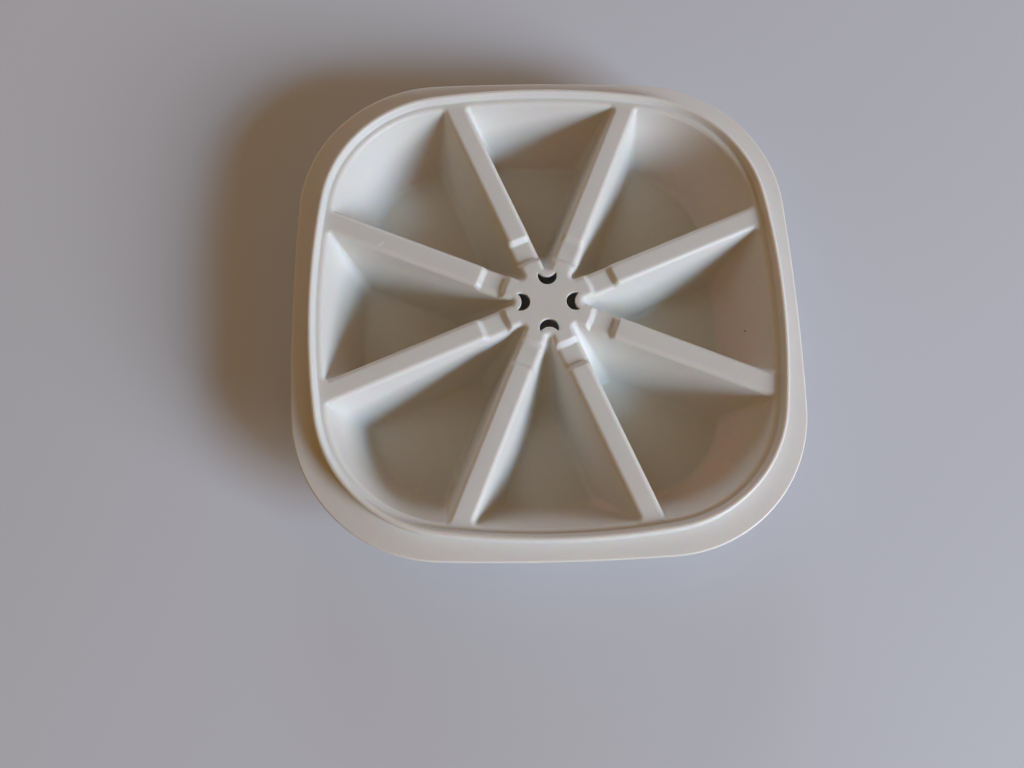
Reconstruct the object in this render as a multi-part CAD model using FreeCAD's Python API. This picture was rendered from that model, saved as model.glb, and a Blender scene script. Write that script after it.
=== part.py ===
import FreeCAD, Part
import math
import os

from FreeCAD import Vector

# Divided tray, moulded in one shot from soft white plastic: eight wedge pockets round a hub,
# hollow dividers between them, a bead round the rim and a lower flange outside the bead.
# It is split here into its named regions, which meet face to face.
# Millimetres. +Z is up, the pockets stand on Z = 0 and the hub's axis is the Z axis.

# Driving dimensions
tray_width = 200.0          # across the flats, over the flange
wall = 1.6                  # thickness of the whole moulding
pocket_depth = 34.0         # from the divider tops down to the pocket floors
pockets = 8

# Rim, from the outside in: offsets are measured at the middle of a side
flange_side_radius = 950.0  # the flange's sides are almost straight
flange_corner_radius = 58.0
bead_outside = 6.9          # from the flange's edge to the bead's outer face
bead_side_radius = 305.0
bead_corner_radius = 53.6
bead_width = 2.9            # at its foot
bead_lean = 1.2             # how far its inner face leans out on the way up
bead_rise = 2.8             # bead's crest above the dividers
bead_round = 0.95           # on both edges of the crest
ledge_width = 2.2           # flat ledge between the bead and the pocket mouths
flange_root_drop = 2.8      # flange below the dividers, at the bead
flange_edge_drop = 4.0      # and at its outer edge
flange_edge_round = 0.75

# Pockets
divider_half_width = 4.4    # at the top, before its edges are rounded
divider_draft_run = 6.0     # how much wider each side of a divider is at the pocket floor
outer_draft_run = 12.0      # how far the outer wall leans in from mouth to floor
mouth_tip_radius = 1.1
floor_tip_radius = 4.6
mouth_corner_radius = 1.3
floor_corner_radius = 3.6
floor_fillet = 3.2
mouth_round = 1.8

# Hub and notches
hub_radius = 18.3           # middle of the curved step down into each notch
notch_end = 27.9            # middle of the straight step back up to the divider's top
notch_depth = 2.0
step_run = 2.0              # each step leans by this much
step_round = 1.0
hub_joint_radius = 20.6     # where the hub plate and the dividers are told apart
rim_joint_inset = 0.8       # and the dividers and the ledge, inside the mouths' outer edge
crescent_radius = 3.75
crescent_centre = 10.85     # from the hub's axis
bite_radius = 4.1           # the circle that hollows a crescent's outer side
bite_centre = 14.65

# Worked-out levels and angles
deck_top = wall + pocket_depth
deck_under = deck_top - wall
half_pitch = math.pi / pockets
clear = 5.0                 # how far a cutting tool reaches past what it cuts
hair = 0.01                 # tolerance when edges are picked by their place


class Outline:
    """A square with bowed sides and round corners, as eight tangent arcs about the Z axis."""

    def __init__(self, half, side_radius, corner_radius):
        self.half = half
        self.side_radius = side_radius
        self.corner_radius = corner_radius
        self.side_centre = half - side_radius
        reach = side_radius - corner_radius
        spread = 2 * reach ** 2 - self.side_centre ** 2
        self.corner_centre = (self.side_centre + math.sqrt(spread)) / 2
        self.turn = math.atan2(self.corner_centre, self.corner_centre - self.side_centre)

    def inset(self, distance):
        return Outline(self.half - distance, self.side_radius - distance,
                       self.corner_radius - distance)

    def wire(self, z):
        edges = []
        for quarter in range(4):
            turned = quarter * math.pi / 2
            side = polar(self.side_centre, turned)
            corner = polar(self.corner_centre * math.sqrt(2), turned + math.pi / 4)
            edges.append(arc(side, self.side_radius, turned - self.turn, turned + self.turn, z))
            edges.append(arc(corner, self.corner_radius, turned + self.turn,
                             turned + math.pi / 2 - self.turn, z))
        return Part.Wire(edges)

    def prism(self, low, high):
        return Part.Face(self.wire(low)).extrude(Vector(0, 0, high - low))


def polar(radius, angle, z=0.0):
    return Vector(radius * math.cos(angle), radius * math.sin(angle), z)


def arc(centre, radius, start, end, z):
    points = [centre + polar(radius, angle, z) for angle in (start, (start + end) / 2, end)]
    return Part.Arc(*points).toShape()


def cylinder(radius, low, high, centre=Vector(0, 0, 0)):
    return Part.makeCylinder(radius, high - low, centre + Vector(0, 0, low))


flange_outline = Outline(tray_width / 2, flange_side_radius, flange_corner_radius)
bead_outline = Outline(tray_width / 2 - bead_outside, bead_side_radius, bead_corner_radius)
ledge_outline = bead_outline.inset(bead_width)
mouth_outline = ledge_outline.inset(ledge_width)


def pocket_wire(corner_pocket, depth, skin):
    """A pocket's outline on its own axis (+X), at a depth below the dividers' tops.

    skin is 0 on the inside of the wall, and the wall's thickness on its outside.
    """
    share = depth / pocket_depth
    half_width = divider_half_width + divider_draft_run * share - skin
    tip = mouth_tip_radius + (floor_tip_radius - mouth_tip_radius) * share + skin
    corner = mouth_corner_radius + (floor_corner_radius - mouth_corner_radius) * share + skin
    lean = outer_draft_run * share - skin
    if corner_pocket:
        outer_centre = mouth_outline.corner_centre * math.sqrt(2)
        outer = mouth_outline.corner_radius - lean
    else:
        outer_centre = mouth_outline.side_centre
        outer = mouth_outline.side_radius - lean
    z = deck_top - depth
    along = Vector(math.cos(half_pitch), math.sin(half_pitch), 0)
    inward = Vector(math.sin(half_pitch), -math.cos(half_pitch), 0)
    apex = Vector(half_width / math.sin(half_pitch), 0, z)
    tip_centre = apex + Vector(tip / math.sin(half_pitch), 0, 0)
    arc_centre = Vector(outer_centre, 0, z)

    # the corner's round touches the divider's side and the outer wall
    start = apex + inward * corner - arc_centre
    middle = start.dot(along)
    run = -middle + math.sqrt(middle ** 2 - start.dot(start) + (outer - corner) ** 2)
    corner_centre = apex + along * run + inward * corner
    outwards = (corner_centre - arc_centre).normalize()

    tip_point = tip_centre - inward * tip
    side_point = apex + along * run
    outer_point = arc_centre + outwards * outer
    corner_point = corner_centre + (outwards - inward).normalize() * corner

    def across(point):
        return Vector(point.x, -point.y, point.z)

    edges = [
        Part.Arc(across(tip_point), tip_centre - Vector(tip, 0, 0), tip_point).toShape(),
        Part.LineSegment(tip_point, side_point).toShape(),
        Part.Arc(side_point, corner_point, outer_point).toShape(),
        Part.Arc(outer_point, arc_centre + Vector(outer, 0, 0), across(outer_point)).toShape(),
        Part.Arc(across(outer_point), across(corner_point), across(side_point)).toShape(),
        Part.LineSegment(across(side_point), across(tip_point)).toShape(),
    ]
    return Part.Wire(edges)


def pocket_body(corner_pocket, bottom_depth, skin, fillet):
    """The space inside a pocket, or inside plus wall, with its bottom edge rounded."""
    wires = [pocket_wire(corner_pocket, bottom_depth, skin),
             pocket_wire(corner_pocket, -clear, skin)]
    body = Part.makeLoft(wires, True, True)
    bottom = deck_top - bottom_depth
    low_edges = [edge for edge in body.Edges if edge.BoundBox.ZMax < bottom + hair]
    return body.makeFillet(fillet, low_edges)


def turned(shape, index, step=2 * half_pitch, first=0.0):
    copy = shape.copy()
    copy.rotate(Vector(0, 0, 0), Vector(0, 0, 1), math.degrees(first + index * step))
    return copy


def notch_cutter(grow):
    """The notch across a divider on +X: curved at the hub, straight at its far end."""
    low = deck_top - notch_depth - grow
    high = deck_top + clear
    slope = step_run / notch_depth
    foot_shift = slope * (notch_depth / 2 + grow)
    rise_shift = slope * (clear + notch_depth / 2)
    far_low = notch_end - foot_shift + grow
    far_high = notch_end + rise_shift + grow
    near_low = hub_radius + foot_shift - grow
    near_high = hub_radius - rise_shift - grow
    half_across = hub_radius * math.sin(half_pitch)
    block = Part.makePolygon([Vector(0, -half_across, low), Vector(far_low, -half_across, low),
                              Vector(far_high, -half_across, high), Vector(0, -half_across, high),
                              Vector(0, -half_across, low)])
    block = Part.Face(block).extrude(Vector(0, 2 * half_across, 0))
    hub = Part.makeCone(near_low, near_high, high - low, Vector(0, 0, low))
    cutter = block.cut(hub)
    feet = [edge for edge in cutter.Edges
            if edge.BoundBox.ZMax < low + hair and edge.BoundBox.YLength > half_across]
    return cutter.makeFillet(step_round + grow, feet)


def crescent_hole(index):
    """A crescent through the hub plate, its hollow side following the pocket's tip."""
    low, high = deck_under - clear, deck_top + clear
    moon = cylinder(crescent_radius, low, high, Vector(crescent_centre, 0, 0))
    moon = moon.cut(cylinder(bite_radius, low, high, Vector(bite_centre, 0, 0)))
    return turned(moon, index, math.pi / 2)


def all_pockets(bottom_depth, skin, fillet):
    shapes = [pocket_body(kind, bottom_depth, skin, fillet) for kind in (False, True)]
    return [turned(shapes[index % 2], index) for index in range(pockets)]


def deck_plate(cavities, notches, notch_linings):
    """Hub plate, divider tops and ledge in one, before it is told apart."""
    plate = ledge_outline.prism(deck_under, deck_top).cut(Part.Compound(cavities))
    rim = ledge_outline.wire(deck_top)
    mouth_edges = [edge for edge in plate.Edges
                   if edge.BoundBox.ZMin > deck_top - hair and edge.distToShape(rim)[0] > hair]
    plate = plate.makeFillet(mouth_round, mouth_edges)
    under = ledge_outline.prism(deck_under - notch_depth - clear, deck_under)
    linings = [lining.common(under).cut(Part.Compound(cavities)) for lining in notch_linings]
    return plate.fuse(linings).cut(Part.Compound(notches))


def rim_bead():
    """Solid bead between the ledge and the flange: upright outside, leaning inside."""
    foot = deck_top - flange_root_drop - wall
    crest = deck_top + bead_rise
    lean_past = bead_lean * (bead_rise + clear) / bead_rise
    lean = Part.makeLoft([ledge_outline.wire(deck_top),
                          bead_outline.inset(bead_width - lean_past).wire(crest + clear)],
                         True, True)
    ring = bead_outline.prism(foot, crest)
    ring = ring.cut(ledge_outline.prism(foot - clear, deck_top)).cut(lean)
    edges = [edge for edge in ring.Edges if edge.BoundBox.ZMin > crest - hair]
    return ring.makeFillet(bead_round, edges)


def flange():
    """Flange outside the bead, sloping gently down to its rounded edge."""
    root_top = deck_top - flange_root_drop
    edge_top = deck_top - flange_edge_drop
    skirt = Part.makeLoft([flange_outline.wire(edge_top), bead_outline.wire(root_top)], True, True)
    hollow = skirt.copy()
    hollow.translate(Vector(0, 0, -wall))
    band = flange_outline.prism(edge_top - wall, edge_top)
    ring = skirt.fuse(band).cut(hollow)
    ring = ring.cut(bead_outline.prism(edge_top - wall - clear, root_top + clear))
    ring = ring.removeSplitter()
    rim = flange_outline.wire(edge_top - wall / 2)
    edges = [edge for edge in ring.Edges
             if edge.BoundBox.ZLength < hair and edge.distToShape(rim)[0] < wall]
    return ring.makeFillet(flange_edge_round, edges)


def split_by_angle(shape, first=half_pitch):
    """The separate solids of a shape, in order of their angle about the hub."""
    def angle(solid):
        middle = solid.CenterOfMass
        return (math.atan2(middle.y, middle.x) - first / 2) % (2 * math.pi)
    return sorted(shape.Solids, key=angle)


def build():
    cavities = all_pockets(pocket_depth, 0.0, floor_fillet)
    hulls = all_pockets(pocket_depth + wall, wall, floor_fillet + wall)
    notches = [turned(notch_cutter(0.0), index, first=half_pitch) for index in range(pockets)]
    linings = [turned(notch_cutter(wall), index, first=half_pitch) for index in range(pockets)]
    deck = deck_plate(cavities, notches, linings)

    above = cylinder(tray_width, deck_under, deck_top + 2 * clear)
    hub_zone = cylinder(hub_joint_radius, 0, deck_top + clear)
    mouth_zone = mouth_outline.inset(rim_joint_inset).prism(0, deck_top + clear)

    hub = deck.common(hub_zone)
    for index in range(4):
        hub = hub.cut(crescent_hole(index))
    nodes = {
        "flange": flange(),
        "rim_bead": rim_bead(),
        "rim_ledge": deck.cut(mouth_zone),
        "hub_plate": hub,
    }
    tops = split_by_angle(deck.common(mouth_zone).cut(hub_zone))
    for index, top in enumerate(tops, start=1):
        nodes["divider_%d" % index] = top
    for index in range(pockets):
        cup = hulls[index].cut(cavities[index]).cut(above)
        for near in (index - 1, index):
            cup = cup.cut(linings[near])
        nodes["pocket_%d" % (index + 1)] = cup
    return nodes


os.makedirs("parts", exist_ok=True)
for name, shape in build().items():
    shape.exportStep("parts/" + name + ".step")
    box = shape.optimalBoundingBox()
    print(name, len(shape.Solids), "solid", round(shape.Volume), "mm3", shape.isValid(),
          [round(value, 2) for value in (box.XMin, box.XMax, box.YMin, box.YMax, box.ZMin, box.ZMax)])
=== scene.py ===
import math

import bmesh
import bpy
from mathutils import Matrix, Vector


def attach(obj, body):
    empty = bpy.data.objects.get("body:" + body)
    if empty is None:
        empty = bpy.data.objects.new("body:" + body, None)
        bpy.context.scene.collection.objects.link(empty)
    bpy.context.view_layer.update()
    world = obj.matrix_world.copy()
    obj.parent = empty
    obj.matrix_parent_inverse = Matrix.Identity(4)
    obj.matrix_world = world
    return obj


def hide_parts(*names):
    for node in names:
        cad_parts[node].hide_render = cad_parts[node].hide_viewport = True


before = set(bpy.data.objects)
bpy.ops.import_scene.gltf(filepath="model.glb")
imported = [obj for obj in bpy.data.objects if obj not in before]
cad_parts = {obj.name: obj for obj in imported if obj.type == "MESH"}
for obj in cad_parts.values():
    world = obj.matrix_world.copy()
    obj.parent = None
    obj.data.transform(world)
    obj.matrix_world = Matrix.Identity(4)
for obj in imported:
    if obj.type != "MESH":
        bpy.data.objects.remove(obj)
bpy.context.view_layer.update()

mm = 0.001  # every size below is in millimetres unless its note says otherwise
print("frame loaded")


# rim

rim = {
    "half": 100.0,  # half the width over the flange
    "flangeSideRadius": 950.0,
    "flangeCornerRadius": 58.0,
    "flangeRound": 0.75,
    "flangeRootDrop": 2.8,  # below the tops of the dividers
    "flangeEdgeDrop": 4.0,
    "beadOutside": 6.9,  # in from the flange's edge
    "beadSideRadius": 305.0,
    "beadCornerRadius": 53.6,
    "beadWidth": 2.9,
    "beadLean": 1.2,  # how far its inner face leans out on the way up
    "beadRise": 2.8,
    "beadRound": 0.95,
    "ledgeWidth": 2.2,
    "footRound": 0.5,  # hollow round where the bead meets the ledge and the flange
    "sideSteps": 36,
    "cornerSteps": 24,
    "roundSteps": 6,
}

plate = {
    "wall": 1.6,
    "deckTop": 35.6,
    "sharpAngle": math.radians(38),
    "joinGap": 0.02,  # points nearer than this are one point
    "levelGap": 0.01,  # an edge this near the deck's height is on it
}


class BowedSquare:  # eight tangent arcs: four bowed sides and four corners
    def __init__(self, half, sideRadius, cornerRadius):
        self.half = half
        self.sideRadius = sideRadius
        self.cornerRadius = cornerRadius
        self.sideCentre = half - sideRadius
        reach = sideRadius - cornerRadius
        spread = math.sqrt(2 * reach ** 2 - self.sideCentre ** 2)
        self.cornerCentre = (self.sideCentre + spread) / 2
        self.turn = math.atan2(self.cornerCentre, self.cornerCentre - self.sideCentre)

    def inset(self, distance):
        return BowedSquare(self.half - distance, self.sideRadius - distance,
                           self.cornerRadius - distance)

    def points(self):
        found = []
        for quarter in range(4):
            turned = quarter * math.pi / 2
            side = polar(self.sideCentre, turned)
            corner = polar(self.cornerCentre * math.sqrt(2), turned + math.pi / 4)
            for step in range(rim["sideSteps"]):
                angle = self.turn * (2 * step / rim["sideSteps"] - 1)
                found.append(side + polar(self.sideRadius, turned + angle))
            for step in range(rim["cornerSteps"]):
                share = step / rim["cornerSteps"]
                angle = self.turn + share * (math.pi / 2 - 2 * self.turn)
                found.append(corner + polar(self.cornerRadius, turned + angle))
        return found


def polar(radius, angle):
    return Vector((radius * math.cos(angle), radius * math.sin(angle)))


def lifted(point, height):
    return Vector((point.x, point.y, height))


# an exact arc between a and b, tangent to the lines that meet at their corner
def arcBetween(a, corner, b, share):
    before, after = (corner - a).normalized(), (b - corner).normalized()
    weight = math.cos(before.angle(after) / 2)
    parts = ((1 - share) ** 2, 2 * weight * share * (1 - share), share ** 2)
    return (a * parts[0] + corner * parts[1] + b * parts[2]) / sum(parts)


def startRing(mesh, points):
    ring = list(bmesh.ops.create_circle(mesh, segments=len(points), radius=1.0)["verts"])
    ring.sort(key=lambda vert: math.atan2(vert.co.y, vert.co.x))
    for vert, point in zip(ring, points):
        vert.co = point * mm
    return ring


def edgesOf(chain, closed=True):
    pairs = list(zip(chain, chain[1:] + chain[:1] if closed else chain[1:]))
    return [next(e for e in a.link_edges if e.other_vert(a) == b) for a, b in pairs]


# pulls the last ring of a skin out to new points, in the same order
def pull(mesh, chain, points, closed=True):
    made = bmesh.ops.extrude_edge_only(mesh, edges=edgesOf(chain, closed))["geom"]
    order = {vert: index for index, vert in enumerate(chain)}
    pulled = [None] * len(chain)
    for vert in made:
        if isinstance(vert, bmesh.types.BMVert):
            old = next(e.other_vert(vert) for e in vert.link_edges if e.other_vert(vert) in order)
            pulled[order[old]] = vert
    for vert, point in zip(pulled, points):
        vert.co = point * mm
    return pulled


beadLine = BowedSquare(rim["half"] - rim["beadOutside"], rim["beadSideRadius"],
                       rim["beadCornerRadius"])
flangeLine = BowedSquare(rim["half"], rim["flangeSideRadius"], rim["flangeCornerRadius"])
mouthLine = beadLine.inset(rim["beadWidth"] + rim["ledgeWidth"])


# the section of the rim, from the ledge over the bead and the flange to the deck's underside
def rimSection():
    top = plate["deckTop"]
    under = top - plate["wall"]
    crest = top + rim["beadRise"]
    root = top - rim["flangeRootDrop"]
    edge = top - rim["flangeEdgeDrop"]
    lip, foot, width = rim["flangeRound"], rim["footRound"], rim["beadWidth"]
    crown, lean = rim["beadRound"], rim["beadLean"]
    wall = plate["wall"]
    fall = (rim["flangeEdgeDrop"] - rim["flangeRootDrop"]) / rim["beadOutside"]
    tilt = math.atan2(lean, rim["beadRise"])
    reach = crown * math.tan((math.pi / 2 - tilt) / 2)
    away, up = math.sin(tilt), math.cos(tilt)

    def atBead(distance, height):
        return ("bead", distance, height)

    def atFlange(distance, height):
        return ("flange", distance, height)

    corners = [
        (atBead(width + foot, top), atBead(width, top),
         atBead(width - foot * away, top + foot * up)),
        (atBead(width - lean + reach * away, crest - reach * up), atBead(width - lean, crest),
         atBead(width - lean - reach, crest)),
        (atBead(crown, crest), atBead(0, crest), atBead(0, crest - crown)),
        (atBead(0, root + foot), atBead(0, root), atBead(-foot, root - fall * foot)),
        (atFlange(lip, edge + fall * lip), atFlange(0, edge), atFlange(0, edge - lip)),
        (atFlange(0, edge - wall + lip), atFlange(0, edge - wall),
         atFlange(lip, edge - wall + fall * lip)),
    ]
    ends = [atBead(0, root - wall), atBead(width, root - wall), atBead(width, under)]
    return corners, ends


def rimRings():
    def ringAt(mark):
        line, distance, height = mark
        base = beadLine if line == "bead" else flangeLine
        return [lifted(point, height) for point in base.inset(distance).points()]

    corners, ends = rimSection()
    rings = []
    for a, corner, b in corners:
        starts, middles, stops = ringAt(a), ringAt(corner), ringAt(b)
        for step in range(rim["roundSteps"] + 1):
            share = step / rim["roundSteps"]
            rings.append([arcBetween(*three, share) for three in zip(starts, middles, stops)])
    return rings + [ringAt(mark) for mark in ends]


# pockets

pocket = {
    "count": 8,
    "depth": 34.0,
    "dividerHalf": 4.4,
    "dividerDraft": 6.0,  # how far each side leans in from the mouth to the floor
    "outerDraft": 12.0,
    "mouthTip": 1.1,
    "floorTip": 4.6,
    "mouthCorner": 1.3,
    "floorCorner": 3.6,
    "floorRound": 3.2,
    "mouthRound": 2.2,
    "tipSteps": 16,
    "cornerSteps": 8,
    "outerSteps": 28,
    "nearSteps": 3,  # along a side, from the tip to the notch
    "farSteps": 16,  # and from the notch to the corner
    "roundSteps": 5,
    "wallSteps": 4,
    "floorSteps": 9,
}

notch = {
    "hubStep": 18.3,
    "farStep": 27.9,
    "drop": 2.0,
    "run": 2.8,
    "underShift": 0.5,  # how much wider the notch is on the underside
    "stepSteps": 10,
    "floorSteps": 5,
    "across": 8,
}

halfPitch = math.pi / pocket["count"]


class Section:  # a pocket's outline at one depth, on its own axis, with a skin added outside
    def __init__(self, isCorner, depth, skin):
        share = depth / pocket["depth"]

        def between(first, last):
            return first + (last - first) * share

        self.half = between(pocket["dividerHalf"],
                            pocket["dividerHalf"] + pocket["dividerDraft"]) - skin
        self.tip = between(pocket["mouthTip"], pocket["floorTip"]) + skin
        self.corner = between(pocket["mouthCorner"], pocket["floorCorner"]) + skin
        lean = pocket["outerDraft"] * share - skin
        if isCorner:
            centre, radius = mouthLine.cornerCentre * math.sqrt(2), mouthLine.cornerRadius
        else:
            centre, radius = mouthLine.sideCentre, mouthLine.sideRadius
        self.outer = radius - lean
        self.outerCentre = Vector((centre, 0))
        self.tipCentre = Vector(((self.half + self.tip) / math.sin(halfPitch), 0))
        self.along = polar(1, halfPitch)
        self.inward = polar(1, halfPitch - math.pi / 2)
        self.tipRun = self.tipCentre.dot(self.along)
        start = self.inward * (self.half + self.corner) - self.outerCentre
        middle = start.dot(self.along)
        reach = (self.outer - self.corner) ** 2
        self.cornerRun = -middle + math.sqrt(middle ** 2 - start.length_squared + reach)
        self.cornerPoint = self.along * self.cornerRun + self.inward * (self.half + self.corner)
        outwards = self.cornerPoint - self.outerCentre
        self.spread = math.atan2(outwards.y, outwards.x)

    def side(self, run):
        return self.along * run + self.inward * self.half, -self.inward

    def cornerAt(self, share):
        angle = halfPitch + math.pi / 2 + (self.spread - halfPitch - math.pi / 2) * share
        way = polar(1, angle)
        return self.cornerPoint + way * self.corner, way

    def outerAt(self, share):
        way = polar(1, self.spread * share)
        return self.outerCentre + way * self.outer, way

    def tipAt(self, share):
        way = polar(1, math.pi + (halfPitch - math.pi / 2) * share)
        return self.tipCentre + way * self.tip, way


def smooth(share):
    return share * share * (3 - 2 * share)


# marks along a notch: distance from the hub, how far down, and how straight the line across is
def notchMarks(isUnder):
    shift = notch["underShift"] if isUnder else 0.0
    half = notch["run"] / 2
    nearEnd = notch["hubStep"] - shift + half
    farStart = notch["farStep"] + shift - half
    steps = [step / notch["stepSteps"] for step in range(notch["stepSteps"] + 1)]
    marks = [(nearEnd + notch["run"] * (s - 1), notch["drop"] * smooth(s), 0.0) for s in steps]
    for step in range(1, notch["floorSteps"]):
        share = step / notch["floorSteps"]
        marks.append((nearEnd + (farStart - nearEnd) * share, notch["drop"], share))
    marks += [(farStart + notch["run"] * s, notch["drop"] * (1 - smooth(s)), 1.0) for s in steps]
    return marks


def runAlong(mark, sideways):
    return (1 - mark[2]) * math.sqrt(mark[0] ** 2 - sideways ** 2) + mark[2] * mark[0]


# every point of a pocket's mouth, with the same point of its floor, for one skin
class PocketPoints:
    def __init__(self, isCorner, isUnder):
        wall = plate["wall"]
        self.skin = wall if isUnder else 0.0
        self.marks = notchMarks(isUnder)
        self.top = plate["deckTop"] - self.skin
        self.floor = plate["deckTop"] - pocket["depth"] - self.skin
        self.round = pocket["floorRound"] + self.skin
        self.mouth = Section(isCorner, self.skin, self.skin)
        self.foot = Section(isCorner, pocket["depth"] + self.skin, self.skin)
        self.isCorner = isCorner
        side = self.sidePoints()
        corner = [self.pair("cornerAt", step / pocket["cornerSteps"])
                  for step in range(1, pocket["cornerSteps"])]
        outer = [self.pair("outerAt", 1 - step / (pocket["outerSteps"] / 2))
                 for step in range(pocket["outerSteps"] // 2 + 1)]
        tip = [self.pair("tipAt", 1 - step / (pocket["tipSteps"] / 2))
               for step in range(1, pocket["tipSteps"] // 2 + 1)]
        half = list(reversed(tip)) + side + corner + outer
        # the upper half runs from the tip out to the middle of the outer wall
        self.points = half + [self.across(one) for one in reversed(half[1:-1])]
        first = len(tip) + pocket["nearSteps"]
        self.upper = list(range(first, first + len(self.marks)))
        self.lower = [(-index) % len(self.points) for index in self.upper]

    def pair(self, name, share):
        top, way = getattr(self.mouth, name)(share)
        low = getattr(self.foot, name)(share)[0]
        return lifted(top, self.top), lifted(low, self.floor), lifted(way, 0)

    def across(self, one):
        return tuple(Vector((v.x, -v.y, v.z)) for v in one)

    def sidePoints(self):
        found = []
        for mark in self.marks:
            section = Section(self.isCorner, self.skin + mark[1], self.skin)
            found.append((runAlong(mark, section.half), mark[1]))
        near, far = found[0][0], found[-1][0]
        steps = [step / pocket["nearSteps"] for step in range(pocket["nearSteps"])]
        runs = [(self.mouth.tipRun + (near - self.mouth.tipRun) * s, 0.0) for s in steps] + found
        steps = [(step + 1) / pocket["farSteps"] for step in range(pocket["farSteps"])]
        runs += [(far + (self.mouth.cornerRun - far) * s, 0.0) for s in steps]
        side = []
        for run, drop in runs:
            section = Section(self.isCorner, self.skin + drop, self.skin)
            share = (run - self.mouth.tipRun) / (self.mouth.cornerRun - self.mouth.tipRun)
            low = self.foot.tipRun + (self.foot.cornerRun - self.foot.tipRun) * share
            top, way = section.side(run)
            side.append((lifted(top, self.top - drop),
                         lifted(self.foot.side(low)[0], self.floor), lifted(way, 0)))
        return side

    # where the wall's line leaves a round of this size, and how far that is along the flat
    def tangent(self, one, size):
        top, low, way = one
        lean = math.atan2((top - low).dot(way), top.z - low.z)
        reach = size * math.tan((math.pi / 2 - lean) / 2)
        share = reach * math.cos(lean) / (top.z - low.z)
        return reach, share

    def rings(self):
        rings = []
        if self.skin == 0:
            starts = [one[0] + one[2] * self.tangent(one, pocket["mouthRound"])[0]
                      for one in self.points]
            self.straighten(starts)
            for step in range(pocket["roundSteps"] + 1):
                rings.append([self.mouthPoint(start, one, step / pocket["roundSteps"])
                              for start, one in zip(starts, self.points)])
        else:
            rings.append([one[0] for one in self.points])
        for step in range(1, pocket["wallSteps"]):
            rings.append([self.wallPoint(one, step / pocket["wallSteps"]) for one in self.points])
        for step in range(pocket["floorSteps"] + 1):
            rings.append([self.floorPoint(one, step / pocket["floorSteps"])
                          for one in self.points])
        return rings

    # the deck's edge follows each notch's lines across, so that both sides of a divider meet
    def straighten(self, starts):
        for indexes, sign in ((self.upper, 1), (self.lower, -1)):
            for index, mark in zip(indexes, self.marks):
                one = self.points[index]
                section = Section(self.isCorner, mark[1], 0.0)
                reach = self.tangent(one, pocket["mouthRound"])[0]
                sideways = section.half - reach
                flat = section.along * runAlong(mark, sideways) + section.inward * sideways
                starts[index] = Vector((flat.x, sign * flat.y, one[0].z))

    def mouthPoint(self, start, one, share):
        top, low = one[:2]
        part = self.tangent(one, pocket["mouthRound"])[1]
        return arcBetween(start, top, top.lerp(low, part), share)

    def wallPoint(self, one, share):
        top, low = one[:2]
        first = self.tangent(one, pocket["mouthRound"])[1] if self.skin == 0 else 0.0
        last = 1 - self.tangent(one, self.round)[1]
        return top.lerp(low, first + (last - first) * share)

    def floorPoint(self, one, share):
        top, low, way = one
        reach, part = self.tangent(one, self.round)
        return arcBetween(low.lerp(top, part), low, low - way * reach, share)


def turned(points, angle):
    c, s = math.cos(angle), math.sin(angle)
    return [Vector((p.x * c - p.y * s, p.x * s + p.y * c, p.z)) for p in points]


# one skin of the tray, from the deck down: the pockets, then the notched dividers between them
def makeSkin(mesh, isUnder):
    plans = [PocketPoints(isCorner, isUnder) for isCorner in (False, True)]
    mouths = []
    for index in range(pocket["count"]):
        rings = [turned(ring, index * 2 * halfPitch) for ring in plans[index % 2].rings()]
        chain = startRing(mesh, rings[0])
        mouths.append(chain)
        for points in rings[1:]:
            chain = pull(mesh, chain, points)
        bmesh.ops.contextual_create(mesh, geom=edgesOf(chain))
    for index in range(pocket["count"]):
        after = (index + 1) % pocket["count"]
        left = [mouths[index][i] for i in plans[index % 2].upper]
        right = [mouths[after][i] for i in plans[after % 2].lower]
        makeDivider(mesh, left, right, plans[0], (2 * index + 1) * halfPitch)


def makeDivider(mesh, left, right, plan, angle):
    along, sideways = polar(1, angle), polar(1, angle + math.pi / 2)
    halves = [abs(vert.co.to_2d().dot(sideways)) / mm for vert in left]
    chain = left
    for column in range(1, notch["across"] + 1):
        share = 2 * column / notch["across"] - 1
        points = []
        for mark, half in zip(plan.marks, halves):
            flat = along * runAlong(mark, half * share) + sideways * half * share
            points.append(lifted(flat, plan.top - mark[1]))
        chain = pull(mesh, chain, points, closed=False)
    bmesh.ops.remove_doubles(mesh, verts=chain + right, dist=plate["joinGap"] * mm)


# hub slots

slot = {
    "radius": 3.75,
    "centre": 10.85,
    "biteRadius": 4.1,  # circle that hollows each slot's outer side
    "biteCentre": 14.65,
    "hornRound": 0.25,
    "edgeRound": 0.15,
    "longSteps": 30,
    "shortSteps": 18,
    "hornSteps": 5,
    "edgeSteps": 3,
}


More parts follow.
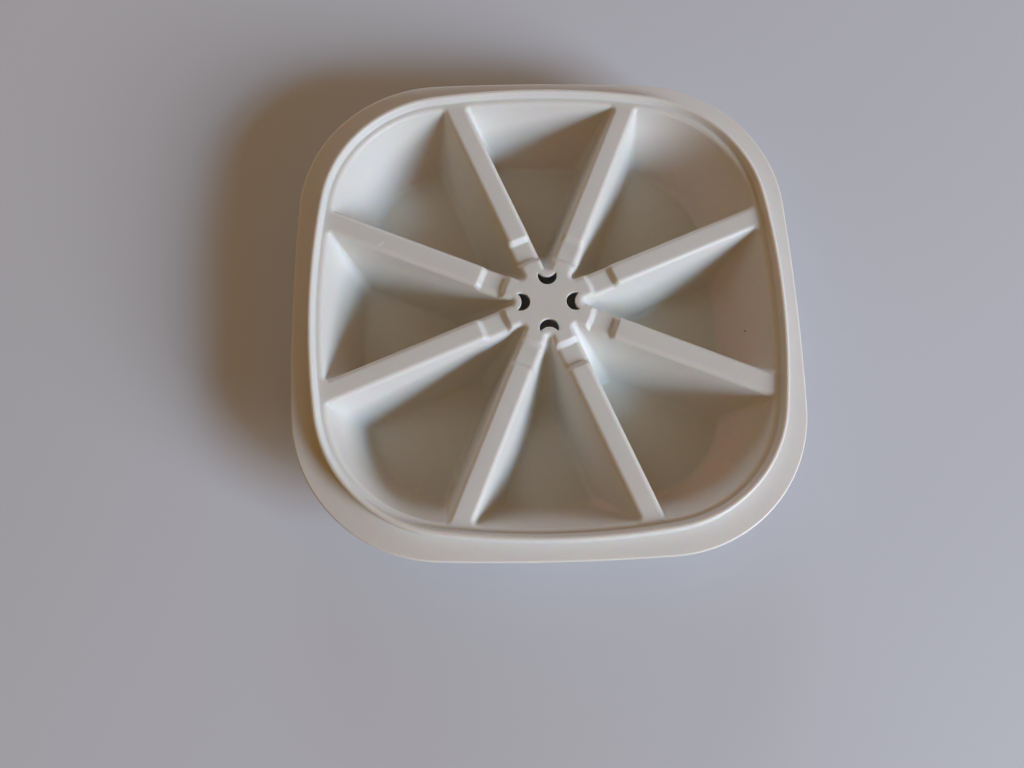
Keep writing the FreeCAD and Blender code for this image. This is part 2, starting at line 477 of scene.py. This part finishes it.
# a crescent's outline, grown by a distance from the same crescent with sharp horns
def slotOutline(grow):
    near, bite = slot["radius"] - slot["hornRound"], slot["biteRadius"] + slot["hornRound"]
    nearCentre = Vector((slot["centre"], 0))
    biteCentre = Vector((slot["biteCentre"], 0))
    gap = biteCentre.x - nearCentre.x
    x = nearCentre.x + (gap ** 2 + near ** 2 - bite ** 2) / (2 * gap)
    horn = Vector((x, math.sqrt(near ** 2 - (x - nearCentre.x) ** 2)))
    nearAngle = math.atan2(horn.y, horn.x - nearCentre.x)
    biteAngle = math.atan2(-horn.y, biteCentre.x - horn.x)
    upper = []
    for step in range(slot["longSteps"]):
        angle = math.pi + (nearAngle - math.pi) * step / slot["longSteps"]
        upper.append(nearCentre + polar(near + grow, angle))
    for step in range(slot["hornSteps"] + 1):
        angle = nearAngle + (biteAngle - nearAngle) * step / slot["hornSteps"]
        upper.append(horn + polar(grow, angle))
    for step in range(1, slot["shortSteps"] + 1):
        angle = biteAngle * (1 - step / slot["shortSteps"])
        upper.append(biteCentre - polar(bite - grow, angle))
    lower = [Vector((p.x, -p.y)) for p in reversed(upper[1:-1])]
    return upper + lower


def makeSlots(mesh):
    top, under = plate["deckTop"], plate["deckTop"] - plate["wall"]
    wide = [lifted(p, top) for p in slotOutline(slot["hornRound"] + slot["edgeRound"])]
    edge = [lifted(p, top) for p in slotOutline(slot["hornRound"])]
    wall = [lifted(p, top - slot["edgeRound"]) for p in slotOutline(slot["hornRound"])]
    foot = [lifted(p, under) for p in slotOutline(slot["hornRound"])]
    rings = [[arcBetween(*three, step / slot["edgeSteps"]) for three in zip(wide, edge, wall)]
             for step in range(slot["edgeSteps"] + 1)] + [foot]
    for quarter in range(4):
        chain = startRing(mesh, turned(rings[0], quarter * math.pi / 2))
        for points in rings[1:]:
            chain = pull(mesh, chain, turned(points, quarter * math.pi / 2))


# the flats: the hub inside the notches, and the ledge with the dividers' far ends
def fillFlats(mesh, height):
    def onDeck(edge):
        level = all(abs(v.co.z - height * mm) < plate["levelGap"] * mm for v in edge.verts)
        return edge.is_boundary and level

    border = [edge for edge in mesh.edges if onDeck(edge)]
    split = (notch["hubStep"] + notch["farStep"]) / 2 * mm
    for isHub in (True, False):
        loop = [e for e in border if (e.verts[0].co.to_2d().length < split) == isHub]
        bmesh.ops.triangle_fill(mesh, edges=loop, use_beauty=True, normal=(0, 0, 1))


def makeMoulding():
    mesh = bmesh.new()
    makeSkin(mesh, False)
    makeSkin(mesh, True)
    makeSlots(mesh)
    rings = rimRings()
    chain = startRing(mesh, rings[0])
    for points in rings[1:]:
        chain = pull(mesh, chain, points)
    fillFlats(mesh, plate["deckTop"])
    fillFlats(mesh, plate["deckTop"] - plate["wall"])
    bmesh.ops.recalc_face_normals(mesh, faces=mesh.faces)
    for face in mesh.faces:
        face.smooth = True
    for edge in mesh.edges:
        edge.smooth = edge.calc_face_angle(0) < plate["sharpAngle"]
    openEdges = sum(1 for edge in mesh.edges if len(edge.link_faces) != 2)
    print("moulding:", len(mesh.faces), "faces,", openEdges, "open edges, volume",
          round(mesh.calc_volume() / mm ** 3), "mm3")
    data = bpy.data.meshes.new("moulding")
    mesh.to_mesh(data)
    mesh.free()
    piece = bpy.data.objects.new("moulding", data)
    bpy.context.scene.collection.objects.link(piece)
    even = piece.modifiers.new("evenShading", "WEIGHTED_NORMAL")
    even.keep_sharp = True
    return piece


moulding = makeMoulding()
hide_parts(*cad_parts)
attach(moulding, "root")
print("moulding made")


# materials


class Wire:  # a socket that takes part in Python sums
    def __init__(self, owner, socket):
        self.owner = owner
        self.socket = socket

    def maths(self, operation, first, second, limit=False):
        node = self.owner.add("ShaderNodeMath", {"operation": operation, "use_clamp": limit},
                              {0: first, 1: second})
        return Wire(self.owner, node.outputs[0])

    def __add__(self, other):
        return self.maths("ADD", self, other)

    def __radd__(self, other):
        return self.maths("ADD", other, self)

    def __sub__(self, other):
        return self.maths("SUBTRACT", self, other)

    def __rsub__(self, other):
        return self.maths("SUBTRACT", other, self)

    def __mul__(self, other):
        return self.maths("MULTIPLY", self, other)

    def __truediv__(self, other):
        return self.maths("DIVIDE", self, other)


class NodeTree:  # the nodes of a material or of the world
    def __init__(self, tree):
        self.tree = tree
        self.tree.nodes.clear()

    def add(self, kind, settings, inputs):
        node = self.tree.nodes.new(kind)
        for name, value in settings.items():
            setattr(node, name, value)
        self.feed(node, inputs)
        return node

    def feed(self, node, inputs):
        for name, value in inputs.items():
            if isinstance(value, Wire):
                self.tree.links.new(value.socket, node.inputs[name])
            else:
                node.inputs[name].default_value = value

    def wire(self, node, output):
        return Wire(self, node.outputs[output])


class Shader(NodeTree):  # with a Principled shader on its output
    def __init__(self, name):
        self.material = bpy.data.materials.new(name)
        self.material.use_nodes = True
        super().__init__(self.material.node_tree)
        self.surface = self.add("ShaderNodeBsdfPrincipled", {}, {})
        self.add("ShaderNodeOutputMaterial", {}, {"Surface": self.wire(self.surface, "BSDF")})

    def place(self):
        return self.wire(self.add("ShaderNodeTexCoord", {}, {}), "Object")

    def noise(self, place, scale, detail):
        node = self.add("ShaderNodeTexNoise", {}, {"Vector": place, "Scale": scale,
                                                   "Detail": detail})
        return self.wire(node, "Fac")

    # 1 at a spot, in millimetres, and 0 past its radius
    def spot(self, place, centre, radius):
        node = self.add("ShaderNodeVectorMath", {"operation": "DISTANCE"},
                        {0: place, 1: [length * mm for length in centre]})
        near = 1.0 - self.wire(node, "Value") / (radius * mm)
        return near.maths("MULTIPLY", near, plastic["spotHardness"], limit=True)

    # a Mix node's colours are its sockets 6 and 7, and its mixed colour is output 2
    def mix(self, share, first, second):
        node = self.add("ShaderNodeMix", {"data_type": "RGBA"},
                        {0: share, 6: first, 7: second})
        return self.wire(node, 2)


plastic = {
    "colour": (0.745, 0.725, 0.67, 1),
    "cloudColour": (0.72, 0.695, 0.63, 1),  # faint uneven ageing
    "scuffColour": (0.87, 0.87, 0.86, 1),
    "speckColour": (0.05, 0.035, 0.025, 1),
    "scuffs": [  # small pale nicks on the dividers: centre and radius
        ((-66.1, 24.5, 35.6), 0.5), ((-65.4, 25.1, 35.6), 0.55), ((-64.7, 25.8, 35.6), 0.5),
        ((-32.1, -8.8, 35.0), 0.5), ((9.7, -33.0, 35.3), 0.4), ((9.8, -33.7, 35.4), 0.4),
    ],
    "specks": [((81.9, -7.9, 18.6), 0.6), ((4.1, 26.3, 25.1), 0.5)],  # dark, moulded in
    "spotHardness": 1.8,
    "cloudScale": 26.0,  # scales count waves in a metre
    "cloudDetail": 3.0,
    "grainScale": 1500.0,
    "grainDetail": 2.0,
    "grainShare": 0.012,
    "rippleScale": 70.0,
    "rippleDetail": 1.0,
    "rippleShare": 0.3,
    "bumpStrength": 0.22,
    "bumpDepth": 0.0012,  # metres
    "roughness": 0.46,
    "roughnessSpread": 0.12,
    "refraction": 1.5,
    "glow": 0.85,  # share of the light that goes into the plastic and comes out elsewhere
    "glowColour": (1.0, 0.56, 0.26),
    "glowDepth": 0.0018,  # metres
}


def makePlastic():
    shader = Shader("satinPlastic")
    place = shader.place()
    cloud = shader.noise(place, plastic["cloudScale"], plastic["cloudDetail"])
    grain = shader.noise(place, plastic["grainScale"], plastic["grainDetail"])
    ripple = shader.noise(place, plastic["rippleScale"], plastic["rippleDetail"])
    tint = shader.mix(cloud, plastic["colour"], plastic["cloudColour"])
    for spots, colour in (("scuffs", "scuffColour"), ("specks", "speckColour")):
        for centre, radius in plastic[spots]:
            tint = shader.mix(shader.spot(place, centre, radius), tint, plastic[colour])
    height = ripple * plastic["rippleShare"] + grain * plastic["grainShare"]
    bump = shader.add("ShaderNodeBump", {}, {"Height": height,
                                             "Strength": plastic["bumpStrength"],
                                             "Distance": plastic["bumpDepth"]})
    rough = plastic["roughness"] + (cloud - 0.5) * plastic["roughnessSpread"]
    shader.feed(shader.surface, {
        "Base Color": tint,
        "Roughness": rough,
        "Normal": shader.wire(bump, "Normal"),
        "IOR": plastic["refraction"],
        "Subsurface Weight": plastic["glow"],
        "Subsurface Radius": plastic["glowColour"],
        "Subsurface Scale": plastic["glowDepth"],
    })
    return shader.material


moulding.data.materials.append(makePlastic())
print("plastic made")


# stage

stage = {
    "floorColour": (0.655, 0.66, 0.68, 1),
    "floorRoughness": 0.7,
    "floorSize": 1.9,  # metres
    "skyColour": (0.5, 0.505, 0.515, 1),  # past the floor
    "roomColour": (1.0, 0.50, 0.03, 1),
    "roomLevel": 0.197,
    "lampDistance": 2.6,  # metres
    "lamps": {  # turn about the tray and height, both in degrees, and sizes in metres
        "key": {"turn": -36.0, "height": 22.0, "width": 1.06, "tall": 0.78, "power": 52.4,
                "colour": (0.82, 0.86, 1.0)},
        "sky": {"turn": -36.0, "height": 32.0, "width": 1.06, "tall": 0.32, "power": 27.6,
                "colour": (0.385, 0.67, 1.0)},
        "fill": {"turn": 90.0, "height": 15.0, "width": 1.0, "tall": 1.0, "power": 17.6,
                 "colour": (0.60, 0.75, 1.0)},
    },
}


def makeFloor():
    mesh = bmesh.new()
    bmesh.ops.create_grid(mesh, x_segments=1, y_segments=1, size=stage["floorSize"] / 2)
    data = bpy.data.meshes.new("floor")
    mesh.to_mesh(data)
    mesh.free()
    floor = bpy.data.objects.new("floor", data)
    bpy.context.scene.collection.objects.link(floor)
    shader = Shader("floorPaint")
    shader.feed(shader.surface, {"Base Color": stage["floorColour"],
                                 "Roughness": stage["floorRoughness"]})
    floor.data.materials.append(shader.material)


def makeLamp(name, plan):
    lamp = bpy.data.lights.new(name, "AREA")
    lamp.shape = "RECTANGLE"
    lamp.size, lamp.size_y = plan["width"], plan["tall"]
    lamp.energy = plan["power"]
    lamp.color = plan["colour"]
    holder = bpy.data.objects.new(name, lamp)
    turn, height = math.radians(plan["turn"]), math.radians(plan["height"])
    way = lifted(polar(math.cos(height), turn), math.sin(height))
    holder.location = way * stage["lampDistance"]
    holder.rotation_euler = way.to_track_quat("Z", "Y").to_euler()
    bpy.context.scene.collection.objects.link(holder)


# the warm room lights the tray, and the pale sky is what is seen past the floor
def makeRoom():
    world = bpy.data.worlds.new("room")
    bpy.context.scene.world = world
    world.use_nodes = True
    room = NodeTree(world.node_tree)
    path = room.add("ShaderNodeLightPath", {}, {})
    seen = room.wire(path, "Is Camera Ray") + room.wire(path, "Is Glossy Ray")
    seen = seen.maths("ADD", seen, room.wire(path, "Is Transmission Ray"), limit=True)
    warm = room.add("ShaderNodeBackground", {}, {"Color": stage["roomColour"],
                                                 "Strength": stage["roomLevel"]})
    pale = room.add("ShaderNodeBackground", {}, {"Color": stage["skyColour"]})
    both = room.add("ShaderNodeMixShader", {}, {0: seen, 1: room.wire(warm, 0),
                                                2: room.wire(pale, 0)})
    room.add("ShaderNodeOutputWorld", {}, {"Surface": room.wire(both, 0)})


makeFloor()
for lampName, lampPlan in stage["lamps"].items():
    makeLamp(lampName, lampPlan)
makeRoom()
bpy.context.scene.view_settings.view_transform = "Standard"
print("stage made")


# camera

view = {
    "place": (-27.52, -121.48, 356.73),
    "turn": (15.3925, -1.7866, -1.5589),  # degrees
    "sensor": 36.0,
    "lens": 30.82,
    "nearest": 10.0,
}


def makeCamera():
    data = bpy.data.cameras.new("camera")
    data.sensor_fit = "HORIZONTAL"
    data.sensor_width = view["sensor"]
    data.lens = view["lens"]
    data.clip_start = view["nearest"] * mm
    camera = bpy.data.objects.new("camera", data)
    camera.location = Vector(view["place"]) * mm
    camera.rotation_euler = [math.radians(angle) for angle in view["turn"]]
    bpy.context.scene.collection.objects.link(camera)
    bpy.context.scene.camera = camera


makeCamera()
print("camera made")
